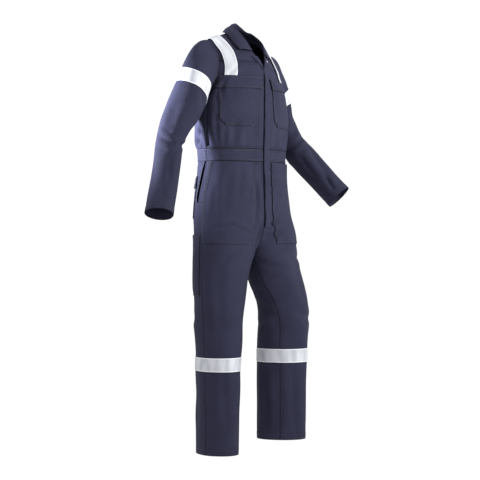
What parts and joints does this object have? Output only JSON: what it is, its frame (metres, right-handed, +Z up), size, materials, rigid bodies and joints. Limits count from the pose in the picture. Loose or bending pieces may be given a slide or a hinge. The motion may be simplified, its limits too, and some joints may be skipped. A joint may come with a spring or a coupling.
{
  "type": "boiler suit",
  "caption": "Long-sleeved work coverall with a zipped front, open collar, patch pockets, gathered back waist and reflective tapes, hollow as worn.",
  "frame": {"origin": "inside the neck opening, between the shoulders, where the wearer holds the suit up", "axes": "+Z up the body, the front faces -Y, the wearer's right is -X"},
  "size_m": [0.8531, 0.3458, 1.5854],
  "materials": {
    "cloth": "matt navy cotton twill",
    "tape": "silver reflective tape with a soft sheen",
    "stud": "dull pressed metal"
  },
  "bodies": {
    "root": {"front_right": "cloth", "trouser_front_right": "cloth", "trouser_back_right": "cloth", "hip_side_right": "cloth", "waistband_front_right": "cloth", "sleeve_right": "cloth", "lapel_right": "cloth", "chest_pocket_right": "cloth", "chest_flap_right": "cloth", "hip_pocket_right": "cloth", "seat_pocket_right": "cloth", "seat_flap_right": "cloth", "front_left": "cloth", "trouser_front_left": "cloth", "trouser_back_left": "cloth", "hip_side_left": "cloth", "waistband_front_left": "cloth", "sleeve_left": "cloth", "lapel_left": "cloth", "chest_pocket_left": "cloth", "chest_flap_left": "cloth", "hip_pocket_left": "cloth", "seat_pocket_left": "cloth", "seat_flap_left": "cloth", "back": "cloth", "yoke": "cloth", "waistband_back": "cloth", "collar": "cloth", "fly_strip": "cloth", "rule_pocket": "cloth", "shoulder_tape_right": "tape", "sleeve_tape_right": "tape", "leg_tape_right": "tape", "shoulder_tape_left": "tape", "sleeve_tape_left": "tape", "leg_tape_left": "tape", "collar_stud": "stud"}
  },
  "joints": []
}
